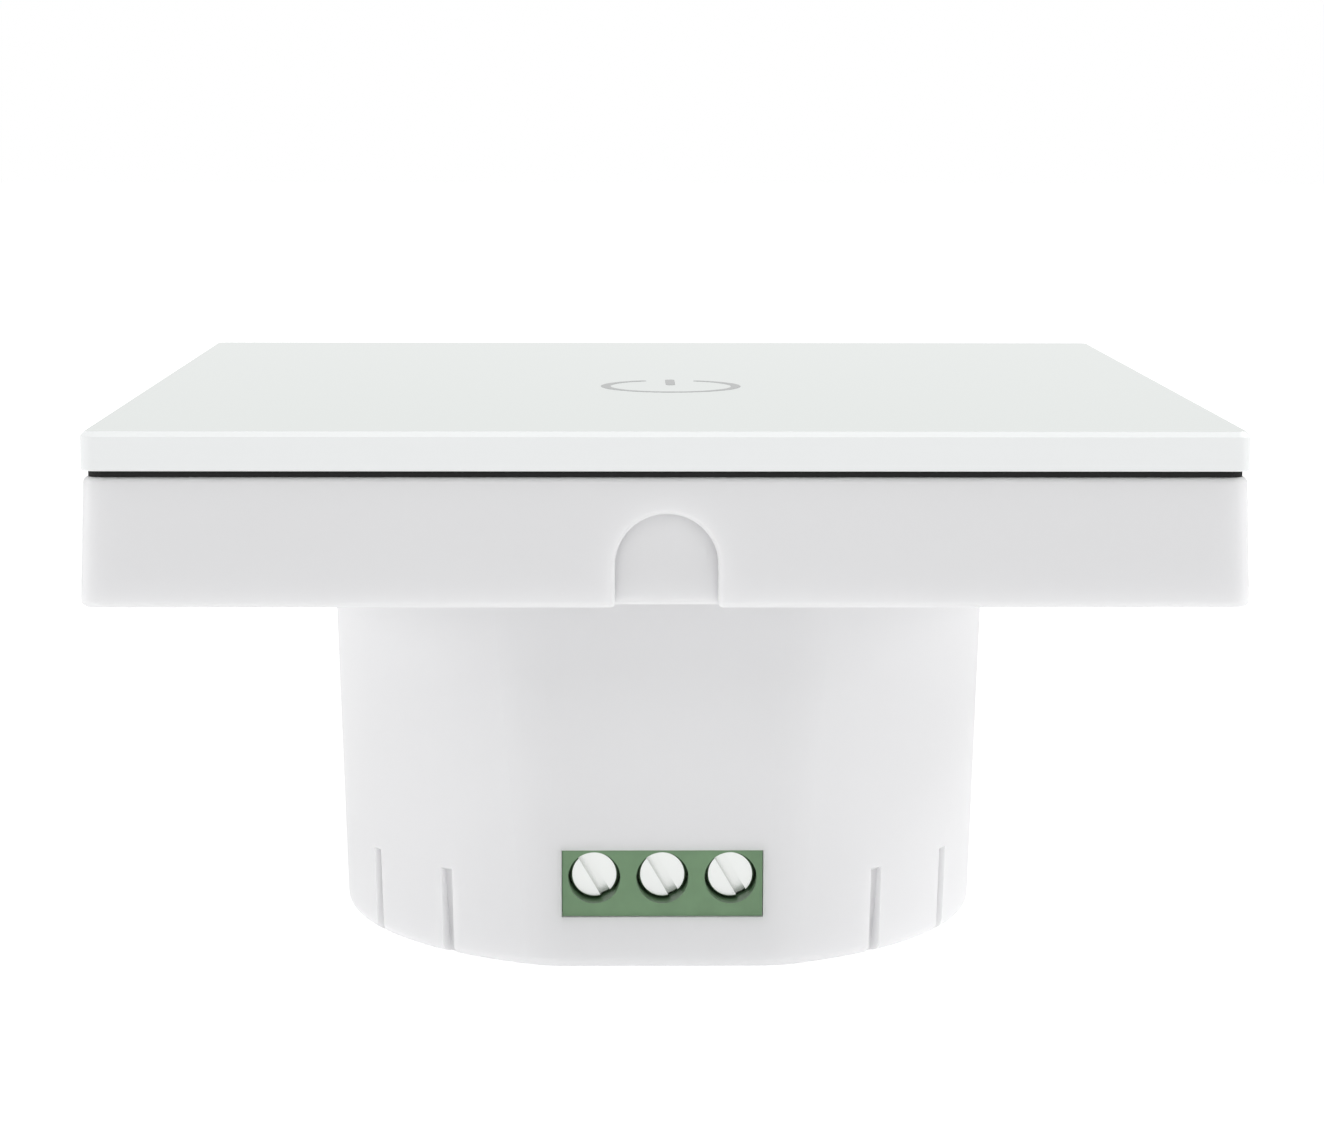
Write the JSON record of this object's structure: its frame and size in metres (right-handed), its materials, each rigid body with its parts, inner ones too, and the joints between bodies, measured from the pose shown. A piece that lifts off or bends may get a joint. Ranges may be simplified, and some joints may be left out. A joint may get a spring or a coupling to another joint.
{
  "type": "smart light switch",
  "caption": "Square glass touch light switch on a white tray, with a round wall-box cup and screw terminals.",
  "frame": {"origin": "middle of the cup's flat back, which is under the middle of the square front", "axes": "+Z out of the wall through the glass, -Y towards the side with the terminal screws and the pry notch, +X to the right of someone who faces that side"},
  "size_m": [0.0804, 0.0804, 0.0419],
  "materials": {
    "panel_glass": "white back-printed float glass, polished",
    "black_tape": "black foam bonding tape",
    "white_plastic": "fine satin moulding",
    "board_green": "solder mask over glass epoxy",
    "plated_steel": "bright nickel plate",
    "tinned_steel": "tin plate",
    "clear_plastic": "milky diffuser",
    "led_white": "phosphor under clear resin",
    "black_plastic": "moulded",
    "brass": "tinned brass",
    "terminal_green": "glass-filled moulding",
    "relay_blue": "moulded",
    "copper_wire": "enamelled copper",
    "soft_iron": "nickel-plated iron",
    "ferrite": "sintered",
    "winding_tape": "yellow film tape",
    "capacitor_black": "sleeved aluminium can",
    "film_yellow": "moulded case",
    "varistor_blue": "epoxy dip",
    "fuse_brown": "moulded case"
  },
  "bodies": {
    "rear_module": {"rear_housing": "white_plastic", "inner_cover": "white_plastic", "cover_screws": "plated_steel", "power_board": "board_green", "board_screws": "plated_steel", "header_socket": "black_plastic", "terminal_block": "terminal_green", "terminal_contacts": "brass", "relay_base": "black_plastic", "relay_cover": "relay_blue", "relay_bobbin": "black_plastic", "relay_winding": "copper_wire", "relay_core": "soft_iron", "relay_yoke": "soft_iron", "relay_fixed_contact": "brass", "relay_coil_pins": "tinned_steel", "transformer_core": "ferrite", "transformer_bobbin": "black_plastic", "transformer_winding": "winding_tape", "bulk_capacitor": "capacitor_black", "output_capacitor": "capacitor_black", "film_capacitor": "film_yellow", "varistor": "varistor_blue", "fuse": "fuse_brown"},
    "front_module": {"glass_panel": "panel_glass", "panel_tape": "black_tape", "front_frame": "white_plastic", "touch_board": "board_green", "touch_board_screws": "plated_steel", "touch_spring": "plated_steel", "light_guide": "clear_plastic", "leds": "led_white", "touch_chip": "black_plastic", "radio_module": "board_green", "radio_shield": "tinned_steel", "header_strip": "black_plastic", "header_pins": "brass"},
    "relay_armature": {"relay_armature": "soft_iron", "relay_contact_blade": "brass"},
    "screw_left": {"terminal_screw_left": "plated_steel"},
    "cage_left": {"terminal_cage_left": "tinned_steel"},
    "screw_middle": {"terminal_screw_middle": "plated_steel"},
    "cage_middle": {"terminal_cage_middle": "tinned_steel"},
    "screw_right": {"terminal_screw_right": "plated_steel"},
    "cage_right": {"terminal_cage_right": "tinned_steel"}
  },
  "joints": [
    {"name": "front_release", "type": "slide", "parent": "rear_module", "child": "front_module", "axis": [0, 0, 1], "range_m": [0, 0.025]},
    {"name": "relay_pull_in", "type": "hinge", "parent": "rear_module", "child": "relay_armature", "pos_m": [-0.0096, 0.0063, 0.02495], "axis": [1, 0, 0], "range_deg": [0, 3.1], "stiffness_Nm_per_rad": 0.005, "springref_deg": -5.73},
    {"name": "screw_turn_left", "type": "hinge", "parent": "rear_module", "child": "screw_left", "pos_m": [-0.00508, -0.0196, 0.00685], "axis": [0, 1, 0], "range_deg": [0, 1350]},
    {"name": "cage_rise_left", "type": "slide", "parent": "rear_module", "child": "cage_left", "axis": [0, -1, 0], "range_m": [0, 0.00169]},
    {"name": "screw_turn_middle", "type": "hinge", "parent": "rear_module", "child": "screw_middle", "pos_m": [0, -0.0196, 0.00685], "axis": [0, 1, 0], "range_deg": [0, 1350]},
    {"name": "cage_rise_middle", "type": "slide", "parent": "rear_module", "child": "cage_middle", "axis": [0, -1, 0], "range_m": [0, 0.00169]},
    {"name": "screw_turn_right", "type": "hinge", "parent": "rear_module", "child": "screw_right", "pos_m": [0.00508, -0.0196, 0.00685], "axis": [0, 1, 0], "range_deg": [0, 1350]},
    {"name": "cage_rise_right", "type": "slide", "parent": "rear_module", "child": "cage_right", "axis": [0, -1, 0], "range_m": [0, 0.00169]}
  ],
  "couplings": [
    {"joint": "screw_turn_left", "follows": "cage_rise_left", "rad_per_m": 13963},
    {"joint": "screw_turn_middle", "follows": "cage_rise_middle", "rad_per_m": 13963},
    {"joint": "screw_turn_right", "follows": "cage_rise_right", "rad_per_m": 13963}
  ]
}
